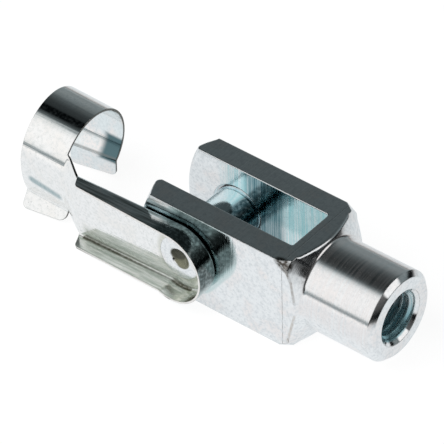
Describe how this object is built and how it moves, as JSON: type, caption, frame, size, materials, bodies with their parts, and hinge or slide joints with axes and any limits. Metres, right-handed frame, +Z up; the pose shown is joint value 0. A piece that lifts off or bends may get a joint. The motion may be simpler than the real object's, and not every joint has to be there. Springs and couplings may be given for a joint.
{
  "type": "clevis rod end",
  "caption": "Square fork end with a threaded round neck and a cross pin held by a folding spring clip, to join a threaded rod to a rod eye.",
  "frame": {"origin": "where the axis of the cross hole and its pin meets the fork's long axis, midway between the tines", "axes": "+X along the fork towards its threaded neck, +Y along the pin away from the clip, +Z up from the flat that the fork rests on"},
  "size_m": [0.0817, 0.0259, 0.021],
  "materials": {
    "fork_zinc": "zinc plated, bright",
    "pin_zinc": "zinc plated, bright",
    "clip_zinc": "zinc plated spring steel, bright"
  },
  "bodies": {
    "fork": {"clevis_fork": "fork_zinc"},
    "pin": {"clip_pin": "pin_zinc"},
    "clip": {"spring_clip": "clip_zinc"}
  },
  "joints": [
    {"name": "pin_slide", "type": "slide", "parent": "fork", "child": "pin", "axis": [0, -1, 0], "range_m": [0, 0.016]},
    {"name": "clip_swing", "type": "hinge", "parent": "pin", "child": "clip", "pos_m": [0, -0.0105, 0], "axis": [0, 1, 0], "range_deg": [-150, 140]}
  ]
}
